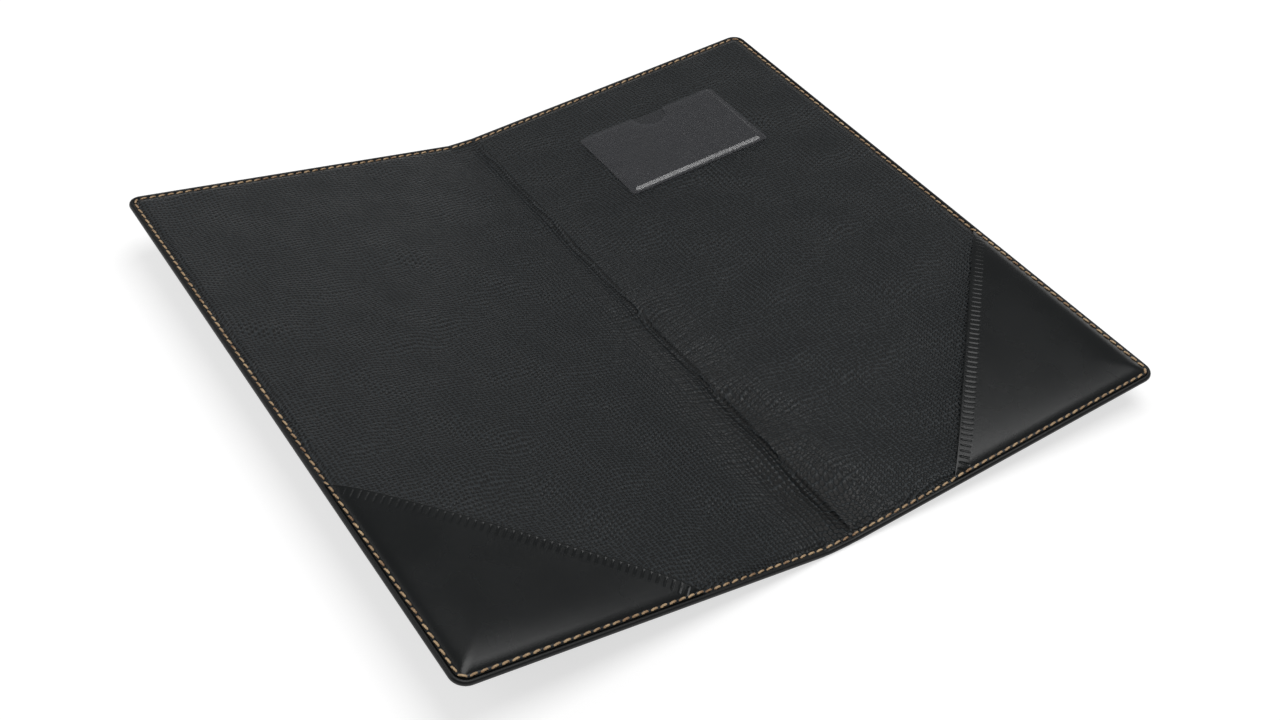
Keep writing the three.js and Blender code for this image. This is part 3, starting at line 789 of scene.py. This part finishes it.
def stitch_tree():
    """Stitches along a seam: each is a bowed length of three-ply thread whose ends dive into its holes."""
    if "lockstitch" in bpy.data.node_groups:
        return bpy.data.node_groups["lockstitch"]
    tree, given = new_tree(
        "lockstitch",
        {
            "Pitch": ("Float", 3.25 * MM),
            "Stitch length": ("Float", 2.5 * MM),
            "Thickness": ("Float", 0.85 * MM),
            "Bow": ("Float", 0.3 * MM),
            "Up": ("Vector", (0, 0, 1)),
            "Slant": ("Float", 0.14),
            "Seed": ("Int", 7),
            "Material": ("Material", None),
        },
    )
    stations, plies, per_ply = 11, 3, 4
    dive, arch_share, pinch = 1.6, 0.5, 0.55
    turns_of_twist = 1.1
    ply_middle, ply_depth = 0.93, 0.12
    wobble_angle = 0.05
    smallest, largest = (0.94, 0.9, 0.56), (1.02, 1.06, 0.66)

    # One stitch's line, arched in the middle, with ends that dive and taper
    half = times(tree, given["Stitch length"], 0.5)
    ends = {"Start": vector(tree, {0: times(tree, half, -1.0)}), "End": vector(tree, {0: half})}
    line = add_node(tree, "GeometryNodeCurvePrimitiveLine", None, ends)
    line = add_node(tree, "GeometryNodeResampleCurve", None, {"Curve": line.outputs[0], "Count": stations})
    along = add_node(tree, "GeometryNodeSplineParameter").outputs["Factor"]
    from_middle = minus(tree, times(tree, along, 2.0), 1.0)
    squared = times(tree, from_middle, from_middle)
    fourth = times(tree, squared, squared)
    drop = times(tree, times(tree, fourth, given["Bow"]), -dive)
    arch = times(tree, minus(tree, 1.0, squared), times(tree, given["Bow"], arch_share))
    bowed = moved(tree, line.outputs[0], "Offset", vector(tree, {2: plus(tree, drop, arch)}))
    taper = minus(tree, 1.0, times(tree, fourth, pinch))
    radius = times(tree, times(tree, given["Thickness"], 0.5), taper)

    # Its section of three round plies, twisted along the line
    twist = times(tree, along, turns_of_twist * 2 * math.pi)
    tilted = add_node(tree, "GeometryNodeSetCurveTilt", None, {0: bowed, "Tilt": twist})
    circle = {"Resolution": plies * per_ply, "Radius": 1.0}
    ring = add_node(tree, "GeometryNodeCurvePrimitiveCircle", None, circle)
    index = add_node(tree, "GeometryNodeInputIndex").outputs[0]
    lobe = calculate(tree, "COSINE", times(tree, index, 2 * math.pi / per_ply))
    bulge = plus(tree, ply_middle, times(tree, lobe, ply_depth))
    place = add_node(tree, "GeometryNodeInputPosition").outputs[0]
    section = moved(tree, ring.outputs[0], "Position", scaled(tree, place, bulge))
    tube = add_node(
        tree,
        "GeometryNodeCurveToMesh",
        None,
        {"Curve": tilted.outputs[0], "Profile Curve": section, "Scale": radius, "Fill Caps": True},
    )
    tube = add_node(tree, "GeometryNodeSetShadeSmooth", None, {0: tube.outputs[0]})

    # A point for each stitch, evenly along the seam
    seam = add_node(tree, "GeometryNodeMeshToCurve", None, {0: given["Geometry"]}).outputs[0]
    seam_length = add_node(tree, "GeometryNodeCurveLength", None, {0: seam}).outputs[0]
    count = calculate(tree, "ROUND", calculate(tree, "DIVIDE", seam_length, given["Pitch"]))
    spots = add_node(tree, "GeometryNodeMeshLine", None, {"Count": count}).outputs[0]
    share = calculate(tree, "DIVIDE", plus(tree, index, 0.5), count)
    sample = add_node(tree, "GeometryNodeSampleCurve", None, {"Curves": seam, "Factor": share})
    placed = moved(tree, spots, "Position", sample.outputs["Position"])

    # Each stitch follows the seam, with its own slant and size
    axes = {"primary_axis": "X", "secondary_axis": "Z"}
    facing = {0: sample.outputs["Tangent"], 1: given["Up"]}
    turn = add_node(tree, "FunctionNodeAxesToRotation", axes, facing).outputs[0]
    chance = {"Seed": given["Seed"]}
    wobble = add_node(tree, "FunctionNodeRandomValue", {"data_type": "FLOAT"}, chance)
    wobble.inputs[2].default_value = -wobble_angle
    wobble.inputs[3].default_value = wobble_angle
    angle = plus(tree, given["Slant"], wobble.outputs[1])
    slant = add_node(tree, "FunctionNodeAxisAngleToRotation", None, {"Axis": (0, 0, 1), "Angle": angle})
    turned = add_node(
        tree,
        "FunctionNodeRotateRotation",
        {"rotation_space": "LOCAL"},
        {"Rotation": turn, "Rotate By": slant.outputs[0]},
    )
    size = add_node(tree, "FunctionNodeRandomValue", {"data_type": "FLOAT_VECTOR"}, chance)
    size.inputs[0].default_value = smallest
    size.inputs[1].default_value = largest
    stitches = add_node(
        tree,
        "GeometryNodeInstanceOnPoints",
        None,
        {
            "Points": placed,
            "Instance": tube.outputs[0],
            "Rotation": turned.outputs[0],
            "Scale": size.outputs[0],
        },
    )
    end_tree(tree, stitches.outputs[0], given["Material"])
    return tree


def crimp_tree():
    """Crimps pressed across a pocket's mouth: short grooves side by side, sunk along Down."""
    if "crimped_band" in bpy.data.node_groups:
        return bpy.data.node_groups["crimped_band"]
    tree, given = new_tree(
        "crimped_band",
        {
            "Mouth end": ("Vector", (0, 0, 0)),
            "Run": ("Vector", (1, 0, 0)),
            "Inward": ("Vector", (0, 1, 0)),
            "Down": ("Vector", (0, 0, -1)),
            "First": ("Float", 0.0),
            "Last": ("Float", 0.1),
            "Pitch": ("Float", 2.3 * MM),
            "Width": ("Float", 0.5 * MM),
            "Inset": ("Float", 1.1 * MM),
            "Length": ("Float", 3.2 * MM),
            "Depth": ("Float", 0.26 * MM),
            "Material": ("Material", None),
        },
    )

    soft = 0.35 * MM
    # Where a crimp's floor ends and its brink lies, as shares of its half width
    floor_share, brink_share = 0.35, 1.5
    # Depth left at the mouth's end by the cover's edge, as a share
    worn_away = 0.3

    def dot(a, b):
        node = add_node(tree, "ShaderNodeVectorMath", {"operation": "DOT_PRODUCT"}, {0: a, 1: b})
        return node.outputs["Value"]

    place = add_node(tree, "GeometryNodeInputPosition").outputs[0]
    apart = {0: place, 1: given["Mouth end"]}
    away = add_node(tree, "ShaderNodeVectorMath", {"operation": "SUBTRACT"}, apart).outputs[0]
    along = dot(away, given["Run"])
    depth_in = dot(away, given["Inward"])
    # Distance from the nearest crimp's middle line
    beat = calculate(tree, "PINGPONG", along, times(tree, given["Pitch"], 0.5))
    half = times(tree, given["Width"], 0.5)
    groove = ramp(tree, beat, times(tree, half, floor_share), times(tree, half, brink_share), 1.0, 0.0)
    near = given["Inset"]
    enter = ramp(tree, depth_in, minus(tree, near, soft), plus(tree, near, soft))
    far = plus(tree, near, given["Length"])
    leave = ramp(tree, depth_in, minus(tree, far, soft), plus(tree, far, soft), 1.0, 0.0)
    begun = calculate(tree, "GREATER_THAN", along, given["First"])
    going = calculate(tree, "LESS_THAN", along, given["Last"])
    share = times(tree, groove, times(tree, enter, leave))
    share = times(tree, share, times(tree, begun, going))
    worn = ramp(tree, along, given["First"], given["Last"], worn_away, 1.0)
    sink = times(tree, share, times(tree, given["Depth"], worn))
    pressed = moved(tree, given["Geometry"], "Offset", scaled(tree, given["Down"], sink))
    end_tree(tree, pressed, given["Material"])
    return tree


# Operators, one for each piece or group of like pieces


class PRESENTER_OT_boards(bpy.types.Operator):
    """Give the stiff boards inside the covers their greyboard finish"""

    bl_idname = "presenter.boards"
    bl_label = "Boards"

    def execute(self, context):
        for cover in COVERS:
            board = frame["nodes"][f"board_{cover.word}"]
            paint(board, material_of("board"))
        return {"FINISHED"}


def spine_steps():
    """Places across one half of the spine, close together where the sheets bend."""
    bend_start, bend_end = 1.5 * MM, 8.5 * MM
    bend_step = 0.23 * MM
    return np.concatenate([[0.0], even(bend_start, bend_end, bend_step)])


class PRESENTER_OT_outer_sheet(bpy.types.Operator):
    """Make the outer leatherette: rolled edge, hem and back, in halves that bend at the creases"""

    bl_idname = "presenter.outer_sheet"
    bl_label = "Outer sheet"

    def execute(self, context):
        s = context.scene.presenter_sizes
        radius = s.rim_radius
        lip_run, lip_drop = 0.2 * MM, 0.12 * MM
        just_past = 0.01 * MM
        channel_half, channel_floor = 0.62 * MM, 0.4 * MM
        board_mark, board_mark_width = 0.1 * MM, 0.5 * MM
        crease_mark, crease_mark_width = 0.18 * MM, 1.1 * MM
        turns = np.linspace(0, math.pi / 2, 6)
        rolled = [radius * (1 - math.cos(t)) for t in turns]
        lip = [s.rim_width - d * MM for d in (0.15, 0.04, 0)]
        groove = [s.seam_inset + d * MM for d in (-0.65, -0.5, -0.3, 0, 0.3, 0.5, 0.65)]
        hem = [s.hem_width + d * MM for d in (0, 0.05, 0.25, 0.5)]
        insets = sorted(set(rolled + lip + groove + [3.6 * MM, 4.4 * MM] + hem + [6.2 * MM]))
        for cover in COVERS:
            net = half_cover_net(insets, spine_steps())
            x, y = net[0].T
            inset = inset_at(x, y, s.corner_radius)
            roll = np.sqrt(np.maximum(radius**2 - np.maximum(radius - inset, 0) ** 2, 0))
            top = RIM_TOP - radius + roll
            top = top - lip_drop * smooth(s.rim_width - lip_run, s.rim_width, inset)
            top = np.where(inset > s.rim_width + just_past, s.hem_top, top)
            top = np.where(inset > s.hem_width + just_past, s.sheet, top)
            channel = smooth(channel_half, channel_floor, np.abs(inset - s.seam_inset))
            back = radius - roll + s.bobbin_groove * channel
            back = back + board_mark * bell(inset - s.hem_width - 0.3 * MM, board_mark_width)
            back = back + crease_mark * bell(x - cover.hinge_x, crease_mark_width)
            name = f"outer_leatherette_{cover.word}"
            obj = slab(name, cover, net, back, top, bends=True)
            paint(obj, material_of("outer"))
            bend_at_crease(obj)
            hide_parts(f"outer_cover_{cover.word}", "outer_cover_spine")
        return {"FINISHED"}


class PRESENTER_OT_lining(bpy.types.Operator):
    """Make the lizard-grained lining, in halves that bend at the creases"""

    bl_idname = "presenter.lining"
    bl_label = "Lining"

    def execute(self, context):
        s = context.scene.presenter_sizes
        steps = (0, 0.08, 0.2, 0.35, 0.5, 0.7, 0.9, 1.15, 1.4, 1.8, 2.3, 2.7, 3.0, 3.3, 3.6, 3.9, 4.4, 5.2)
        insets = [LINING_INSET + d * MM for d in steps]
        for cover in COVERS:
            net = half_cover_net(insets, spine_steps())
            x, y = net[0].T
            face = lining_face(cover, x, y)
            obj = slab(f"lizard_lining_{cover.word}", cover, net, face - s.lining, face, bends=True)
            paint(obj, material_of("lining"))
            bend_at_crease(obj)
            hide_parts(f"lining_{cover.word}", "lining_spine")
        return {"FINISHED"}


def pocket_net(cover):
    """A net over a corner pocket: fine in the crimped band and along the ramp, open elsewhere."""
    s = sizes()
    head, foot, run, inward = mouth_line(cover)
    radius = s.corner_radius
    band_step = s.crimp_pitch / 10
    edge_step, open_step = 1.0 * MM, 1.6 * MM
    band_edge, rings_start, open_start = 0.3 * MM, 5.2 * MM, 5.8 * MM
    ramp_clear, border_gap = 10 * MM, 0.1 * MM
    slope = abs(run[0] / run[1])
    edge_end = head[1] - LINING_INSET / slope
    foot_end = foot[0] + LINING_INSET * slope
    turns = np.linspace(-math.pi / 2, 0, 9)[1:-1]

    def leg_ring(inset):
        arc = max(radius - inset, 0)
        cx, cy = HALF_WIDTH - max(radius, inset), HALF_HEIGHT - max(radius, inset)
        bottom = [(x, -HALF_HEIGHT + inset) for x in even(foot_end, cx, edge_step)]
        bend = [(cx + arc * math.cos(t), -cy + arc * math.sin(t)) for t in turns] if arc > 0 else []
        side = [(HALF_WIDTH - inset, y) for y in even(-cy, edge_end, edge_step)]
        return bottom + bend + side

    def into_mouth(point):
        return (np.asarray(point) - head) @ inward

    outline = leg_ring(LINING_INSET)
    top, end = np.array(outline[-1]), np.array(outline[0])
    for t in even(0, np.linalg.norm(end - top), band_step)[1:-1]:
        outline.append(tuple(top + run * t))
    band_depths = (0.12, 0.3, 0.5, 0.75, 0.95, 1.15, 1.4, 1.9, 2.5, 3.1, 3.7, 4.0, 4.2, 4.4, 4.65, 5.0)
    inner = []
    span = np.linalg.norm(foot - head)
    for depth in band_depths:
        for t in even(0, span, band_step):
            inner.append(head + run * t + inward * depth * MM)
    inner = [p for p in inner if min(HALF_WIDTH - p[0], HALF_HEIGHT + p[1]) > LINING_INSET + band_edge]
    corner_rings = (1.7, 2.1, 2.5, 2.8, 3.2, 3.6, 4.0, 4.4, 4.8, 5.2, 5.6, 6.0, 6.5, 7.4, 8.6)
    for inset in corner_rings:
        inner.extend(p for p in leg_ring(inset * MM) if into_mouth(p) > rings_start)
    for x in np.arange(foot_end, HALF_WIDTH - ramp_clear, open_step):
        for y in np.arange(-HALF_HEIGHT + ramp_clear, edge_end, open_step):
            if into_mouth((x, y)) > open_start:
                inner.append((x, y))
    keep = [p for p in inner if inset_at(*p, radius) > LINING_INSET + border_gap]
    return filled_net(outline, keep)


class PRESENTER_OT_corner_pockets(bpy.types.Operator):
    """Make the two corner pockets, each with its crimped mouth"""

    bl_idname = "presenter.corner_pockets"
    bl_label = "Corner pockets"

    def execute(self, context):
        s = context.scene.presenter_sizes
        lip_width, face_drop, back_lift = 0.45 * MM, 0.18 * MM, 0.12 * MM
        for cover in COVERS:
            net = pocket_net(cover)
            x, y = net[0].T
            head, foot, run, inward = mouth_line(cover)
            depth = (net[0] - head) @ inward
            lip = np.clip(1 - depth / lip_width, 0, 1) ** 2
            pull = MARGIN_PULL * s.seam_groove * seam_pull(x, y)
            face = pocket_face(cover, x, y) - face_drop * lip - pull
            back = pocket_back(cover, x, y) + back_lift * lip
            obj = slab(f"sewn_pocket_{cover.word}", cover, net, back, face)
            origin = cover.lifted(np.array([[*head, HEM_FACE]]))[0]

            def direction(dx, dy, dz):
                end = cover.lifted(np.array([[head[0] + dx, head[1] + dy, HEM_FACE + dz]]))[0]
                return tuple(end - origin)

            span = np.linalg.norm(foot - head)
            values = {
                "Mouth end": tuple(origin),
                "Run": direction(*run, 0.0),
                "Inward": direction(*inward, 0.0),
                "Down": direction(0.0, 0.0, -1.0),
                "First": s.crimp_margin,
                "Last": span - s.crimp_margin,
                "Pitch": s.crimp_pitch,
                "Width": s.crimp_width,
                "Inset": s.crimp_inset,
                "Length": s.crimp_length,
                "Depth": s.crimp_depth,
                "Material": material_of("pocket"),
            }
            made_by_nodes(obj, crimp_tree(), values)
            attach(obj, cover.body)
            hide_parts(f"corner_pocket_{cover.word}")
        return {"FINISHED"}


class PRESENTER_OT_card_pocket(bpy.types.Operator):
    """Make the clear card pocket: two films welded on three sides, with a thumb notch at the mouth"""

    bl_idname = "presenter.card_pocket"
    bl_label = "Card pocket"

    def execute(self, context):
        s = context.scene.presenter_sizes
        x0, y0, back = FILM_LOW
        x1, y1, top = FILM_HIGH
        step, open_step = 1.0 * MM, 1.5 * MM
        radius = 1.2 * MM
        notch_roundness, notch_gap = 0.8, 0.3 * MM
        mouth_gap, open_gap, frame_width = 0.4 * MM, 0.6 * MM, 5.5 * MM
        rise_share, seat_gap = 0.75, 0.02 * MM
        wave_height, wave_length = 0.12 * MM, 9 * MM

        def rounded_foot():
            """The outline round the foot and up the right side, and the left side down again."""
            turns = np.linspace(math.pi, 1.5 * math.pi, 6)
            left = [(x0 + radius * (1 + math.cos(t)), y0 + radius * (1 + math.sin(t))) for t in turns]
            right = [(x0 + x1 - x, y) for x, y in reversed(left)]
            floor = [(x, y0) for x in even(x0 + radius, x1 - radius, step)[1:-1]]
            rise = [(x1, y) for y in even(y0 + radius, y1, step)[1:-1]]
            fall = [(x0, y) for y in even(y1, y0 + radius, step)[1:-1]]
            return left + floor + right + rise, fall

        middle = (x0 + x1) / 2
        half = s.notch_width / 2
        first, last = rounded_foot()
        across = [(x, y1) for x in even(x1, middle + half, step)]
        dip = [
            (middle + half * math.cos(t), y1 - s.notch_depth * math.sin(t) ** notch_roundness)
            for t in np.linspace(0, math.pi, 31)[1:-1]
        ]
        back_edge = [(x, y1) for x in even(middle - half, x0, step)]
        front_outline = first + across + dip + back_edge + last
        back_outline = first + [(x, y1) for x in even(x1, x0, step)] + last
        inner = []
        for millimetres in (0.5, 1.0, 1.3, 1.7, 2.2, 2.7, 3.4, 4.4):
            d = millimetres * MM
            inner += [(x0 + d, y) for y in even(y0 + d, y1 - mouth_gap, step)]
            inner += [(x1 - d, y) for y in even(y0 + d, y1 - mouth_gap, step)]
            inner += [(x, y0 + d) for x in even(x0 + d, x1 - d, step)[1:-1]]
        for x in even(x0 + frame_width, x1 - frame_width, open_step):
            for y in even(y0 + frame_width, y1 - open_gap, open_step):
                inner.append((x, y))

        def outside_notch(p):
            sideways = (p[0] - middle) / (half + notch_gap)
            down = (y1 - p[1]) / (s.notch_depth + notch_gap)
            return sideways**2 + down**2 > 1

        for part, outline, points in (
            ("back", back_outline, inner),
            ("front", front_outline, [p for p in inner if outside_notch(p)]),
        ):
            net = filled_net(outline, points)
            x, y = net[0].T
            if part == "back":
                low = np.full(len(x), back)
            else:
                end = s.film_weld + s.film_ramp
                rise = smooth(s.film_weld, end, x - x0) * smooth(s.film_weld, end, x1 - x)
                rise = rise * smooth(s.film_weld, end, y - y0)
                seat = s.film + seat_gap
                wave = wave_height * np.sin((x - x0) / wave_length) * (y - y0) / (y1 - y0)
                low = back + seat + (top - back - seat - s.film) * rise * rise_share + wave * rise
            obj = slab(f"card_film_{part}", RIGHT, net, low, low + s.film)
            paint(obj, material_of("film"))
            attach(obj, RIGHT.body)
            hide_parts("card_pocket")
        return {"FINISHED"}


def seam_path(start):
    """The seam line round one cover in flat x and y, from the crease at the foot to that at the head."""
    s = sizes()
    radius = s.corner_radius - s.seam_inset
    x, y = HALF_WIDTH - s.seam_inset, HALF_HEIGHT - s.seam_inset
    step = 0.8 * MM
    turns = np.linspace(-math.pi / 2, 0, 9)[1:-1]
    foot = [(a, -y) for a in even(start, x - radius, step)]
    bend = [(x - radius + radius * math.cos(t), -y + radius + radius * math.sin(t)) for t in turns]
    edge = [(x, b) for b in even(-y + radius, y - radius, step)]
    back = [(a, -b) for a, b in reversed(bend)]
    head = [(a, y) for a, _ in reversed(foot)]
    return np.array(foot + bend + edge + back + head)


def line_object(name, points):
    """A bare chain of points and edges for a node tree to follow."""
    mesh = bpy.data.meshes.new(name)
    edges = [(i, i + 1) for i in range(len(points) - 1)]
    mesh.from_pydata([tuple(p) for p in points], edges, [])
    return new_object(name, mesh)


class PRESENTER_OT_edge_seam(bpy.types.Operator):
    """Sew the lockstitch round the presenter: needle thread on the lining and bobbin thread on the back"""

    bl_idname = "presenter.edge_seam"
    bl_label = "Edge seam"

    def execute(self, context):
        s = context.scene.presenter_sizes
        hole, crossing_step = 0.3 * MM, 0.4 * MM
        face_lift, back_lift = 0.15 * s.thread, 0.32 * s.thread
        for cover in COVERS:
            path = seam_path(cover.hinge_x + hole)
            x, y = path[:, 0], path[:, 1]
            margin = pocket_face(cover, x, y) - MARGIN_PULL * s.seam_groove
            seat = np.where(over_pocket(cover, x, y), margin, lining_face(cover, x, y))
            face = np.column_stack([path, seat + face_lift])
            back = np.column_stack([path, np.full(len(path), back_lift)])
            up = cover.lifted(np.array([[0, 0, 1.0], [0, 0, 0]]))
            normal = tuple(up[0] - up[1])
            self.sew("needle", cover.word, cover.lifted(face), normal, cover.body)
            self.sew("bobbin", cover.word, cover.lifted(back), normal, cover.body)
        reach = RIGHT.hinge_x - hole
        for end, sign in (("top", 1), ("bottom", -1)):
            xs = even(-reach, reach, crossing_step)
            ys = np.full(len(xs), sign * (HALF_HEIGHT - s.seam_inset))
            seat = [lining_face(COVERS[int(x < 0)], abs(x), y) for x, y in zip(xs, ys)]
            face = np.column_stack([xs, ys, np.array(seat) + face_lift])
            back = np.column_stack([xs, ys, np.full(len(xs), back_lift)])
            self.sew("needle", f"spine_{end}", face, (0, 0, 1), RIGHT.spine)
            self.sew("bobbin", f"spine_{end}", back, (0, 0, 1), RIGHT.spine)
        return {"FINISHED"}

    def sew(self, thread, place, points, up, body):
        """Sets stitches of the needle or bobbin thread along a line and lets them ride on a body."""
        s = sizes()
        name = f"{thread}_stitches_{place}"
        on_back = thread == "bobbin"
        share, bow = (0.62, 0.14) if on_back else (1.0, 0.3)
        values = {
            "Pitch": s.stitch_pitch,
            "Stitch length": s.stitch_length,
            "Thickness": s.thread * share,
            "Bow": bow * MM,
            "Up": tuple(-c for c in up) if on_back else up,
            "Slant": s.stitch_slant,
            "Seed": s.seed + len(name),
            "Material": material_of("thread"),
        }
        obj = line_object(name, points)
        made_by_nodes(obj, stitch_tree(), values)
        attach(obj, body)
        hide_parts(f"{thread}_thread_{place}")


class PRESENTER_OT_stage(bpy.types.Operator):
    """Set the pale floor with its far walls, the soft lights and the camera"""

    bl_idname = "presenter.stage"
    bl_label = "Stage"

    def execute(self, context):
        self.floor()
        self.lights()
        self.camera(context)
        context.scene.view_settings.view_transform = "Standard"
        return {"FINISHED"}

    def floor(self):
        half, wall, glow = 12.0, 3.0, 0.66
        mesh = bpy.data.meshes.new("floor")
        square = ((-half, -half), (half, -half), (half, half), (-half, half))
        corners = [(x, y, z) for z in (0, wall) for x, y in square]
        walls = [(i, i + 4, (i + 1) % 4 + 4, (i + 1) % 4) for i in range(4)]
        mesh.from_pydata(corners, [], [(0, 1, 2, 3), *walls])
        obj = new_object("floor", mesh)
        material, tree, bsdf = new_material(
            "pale_floor",
            {"Base Color": (*colours().floor, 1), "Roughness": 0.9, "Specular IOR Level": 0.2},
        )
        rays = add_node(tree, "ShaderNodeLightPath")
        seen = calculate(tree, "MAXIMUM", rays.outputs["Is Camera Ray"], rays.outputs["Is Glossy Ray"])
        seen = calculate(tree, "MAXIMUM", seen, rays.outputs["Is Transmission Ray"])
        tree.links.new(times(tree, seen, glow), bsdf.inputs["Emission Strength"])
        bsdf.inputs["Emission Color"].default_value = (1, 1, 1, 1)
        paint(obj, material)

    def lights(self):
        for name, place, size, power in (
            ("overhead_softbox", (0.3, 0.05, 1.5), 1.1, 13.0),
            ("side_softbox", (-1.1, 0.9, 1.0), 0.9, 4.0),
        ):
            data = bpy.data.lights.new(name, "AREA")
            data.shape = "SQUARE"
            data.size = size
            data.energy = power
            lamp = new_object(name, data)
            lamp.location = place
            lamp.rotation_euler = (-Vector(place)).to_track_quat("-Z", "Y").to_euler()
        world = bpy.data.worlds.new("white_studio")
        world.use_nodes = True
        tree = world.node_tree
        tree.nodes.clear()
        sky = add_node(tree, "ShaderNodeBackground", None, {"Color": (1, 1, 1, 1), "Strength": 0.22})
        add_node(tree, "ShaderNodeOutputWorld", None, {"Surface": sky.outputs[0]})
        bpy.context.scene.world = world

    def camera(self, context):
        focal_pixels = 1650.5
        place = Vector((-251.31, -355.90, 377.72)) * MM
        azimuth, elevation, roll = (math.radians(a) for a in (-35.99, 42.19, 4.35))
        data = bpy.data.cameras.new("camera")
        data.sensor_width = SENSOR
        data.lens = focal_pixels / PHOTO_WIDTH * SENSOR
        camera = new_object("camera", data)
        turn = Matrix.Rotation(azimuth, 4, "Z") @ Matrix.Rotation(math.pi / 2 - elevation, 4, "X")
        camera.matrix_world = Matrix.Translation(place) @ turn @ Matrix.Rotation(roll, 4, "Z")
        context.scene.camera = camera


class PRESENTER_PT_panel(bpy.types.Panel):
    """Lists the presenter's pieces and sizes"""

    bl_idname = "PRESENTER_PT_panel"
    bl_label = "Cheque presenter"
    bl_space_type = "VIEW_3D"
    bl_region_type = "UI"
    bl_category = "Presenter"

    def draw(self, context):
        for operator in OPERATORS:
            self.layout.operator(operator.bl_idname)
        for group in (context.scene.presenter_sizes, context.scene.presenter_colours):
            for key in group.bl_rna.properties.keys():
                if key not in ("rna_type", "name"):
                    self.layout.prop(group, key)


OPERATORS = (
    PRESENTER_OT_boards,
    PRESENTER_OT_outer_sheet,
    PRESENTER_OT_lining,
    PRESENTER_OT_corner_pockets,
    PRESENTER_OT_card_pocket,
    PRESENTER_OT_edge_seam,
    PRESENTER_OT_stage,
)
CLASSES = (PresenterSizes, PresenterColours, *OPERATORS, PRESENTER_PT_panel)


def register():
    for cls in CLASSES:
        bpy.utils.register_class(cls)
    bpy.types.Scene.presenter_sizes = PointerProperty(type=PresenterSizes)
    bpy.types.Scene.presenter_colours = PointerProperty(type=PresenterColours)


def unregister():
    del bpy.types.Scene.presenter_colours
    del bpy.types.Scene.presenter_sizes
    for cls in reversed(CLASSES):
        bpy.utils.unregister_class(cls)


def main():
    register()
    bpy.ops.presenter.boards()
    bpy.ops.presenter.outer_sheet()
    bpy.ops.presenter.lining()
    bpy.ops.presenter.corner_pockets()
    bpy.ops.presenter.card_pocket()
    bpy.ops.presenter.edge_seam()
    bpy.ops.presenter.stage()


if __name__ == "__main__":
    main()
